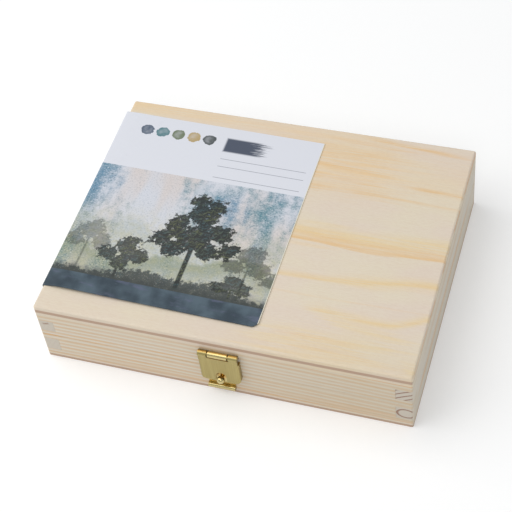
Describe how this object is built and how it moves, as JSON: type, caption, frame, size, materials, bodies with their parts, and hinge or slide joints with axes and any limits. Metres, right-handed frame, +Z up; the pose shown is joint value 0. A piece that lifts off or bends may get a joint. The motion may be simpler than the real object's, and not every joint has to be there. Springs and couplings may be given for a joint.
{
  "type": "wooden watercolor paint box",
  "caption": "Shallow pine case with a hinged plywood lid, a brass snap clasp on the front, a printed card folded over one edge, and a tray of capped paint tubes inside.",
  "frame": {"origin": "centre of the case's underside, at table height", "axes": "+X along the long side to the right as seen from the clasp, +Y from the clasp towards the back hinges, +Z up"},
  "size_m": [0.1804, 0.148, 0.0384],
  "materials": {
    "pine_board": "sanded raw pine, straight grain",
    "pine_plywood": "sanded raw pine veneer, three plies",
    "printed_card": "smooth printed card",
    "brass": "lightly brushed brass plate",
    "tray_plastic": "fine grained matt black",
    "tube_metal": "satin aluminium with a printed band",
    "cap_plastic": "fluted black screw cap"
  },
  "bodies": {
    "case": {"base_front_board": "pine_board", "base_back_board": "pine_board", "base_left_board": "pine_board", "base_right_board": "pine_board", "bottom_panel": "pine_plywood", "tube_tray": "tray_plastic", "hinge_leaf_base_left": "brass", "hinge_leaf_base_right": "brass", "hinge_pins": "brass", "hinge_nails_base": "brass", "catch_plate": "brass", "catch_stud": "brass", "catch_nails": "brass"},
    "lid": {"lid_front_board": "pine_board", "lid_back_board": "pine_board", "lid_left_board": "pine_board", "lid_right_board": "pine_board", "top_panel": "pine_plywood", "card_label": "printed_card", "hinge_leaf_lid_left": "brass", "hinge_leaf_lid_right": "brass", "hinge_nails_lid": "brass", "latch_leaf": "brass", "latch_pin": "brass", "latch_nails": "brass"},
    "hasp": {"hasp_plate": "brass"},
    "tube_1": {"paint_tube_1": "tube_metal"},
    "cap_1": {"paint_cap_1": "cap_plastic"},
    "tube_2": {"paint_tube_2": "tube_metal"},
    "cap_2": {"paint_cap_2": "cap_plastic"},
    "tube_3": {"paint_tube_3": "tube_metal"},
    "cap_3": {"paint_cap_3": "cap_plastic"},
    "tube_4": {"paint_tube_4": "tube_metal"},
    "cap_4": {"paint_cap_4": "cap_plastic"},
    "tube_5": {"paint_tube_5": "tube_metal"},
    "cap_5": {"paint_cap_5": "cap_plastic"}
  },
  "joints": [
    {"name": "lid_hinge", "type": "hinge", "parent": "case", "child": "lid", "pos_m": [0, 0.0716, 0.0175], "axis": [-1, 0, 0], "range_deg": [0, 150]},
    {"name": "hasp_hinge", "type": "hinge", "parent": "lid", "child": "hasp", "pos_m": [0.0004, -0.07165, 0.0296], "axis": [-1, 0, 0], "range_deg": [0, 170]},
    {"name": "tube_1_lift", "type": "slide", "parent": "case", "child": "tube_1", "axis": [0, 0, 1], "range_m": [0, 0.0075]},
    {"name": "tube_2_lift", "type": "slide", "parent": "case", "child": "tube_2", "axis": [0, 0, 1], "range_m": [0, 0.0075]},
    {"name": "tube_3_lift", "type": "slide", "parent": "case", "child": "tube_3", "axis": [0, 0, 1], "range_m": [0, 0.0075]},
    {"name": "tube_4_lift", "type": "slide", "parent": "case", "child": "tube_4", "axis": [0, 0, 1], "range_m": [0, 0.0075]},
    {"name": "tube_5_lift", "type": "slide", "parent": "case", "child": "tube_5", "axis": [0, 0, 1], "range_m": [0, 0.0075]},
    {"name": "cap_1_turn", "type": "hinge", "parent": "tube_1", "child": "cap_1", "pos_m": [-0.064, -0.045, 0.0143], "axis": [0, -1, 0], "continuous": true},
    {"name": "cap_2_turn", "type": "hinge", "parent": "tube_2", "child": "cap_2", "pos_m": [-0.032, -0.045, 0.0143], "axis": [0, -1, 0], "continuous": true},
    {"name": "cap_3_turn", "type": "hinge", "parent": "tube_3", "child": "cap_3", "pos_m": [0, -0.045, 0.0143], "axis": [0, -1, 0], "continuous": true},
    {"name": "cap_4_turn", "type": "hinge", "parent": "tube_4", "child": "cap_4", "pos_m": [0.032, -0.045, 0.0143], "axis": [0, -1, 0], "continuous": true},
    {"name": "cap_5_turn", "type": "hinge", "parent": "tube_5", "child": "cap_5", "pos_m": [0.064, -0.045, 0.0143], "axis": [0, -1, 0], "continuous": true}
  ]
}
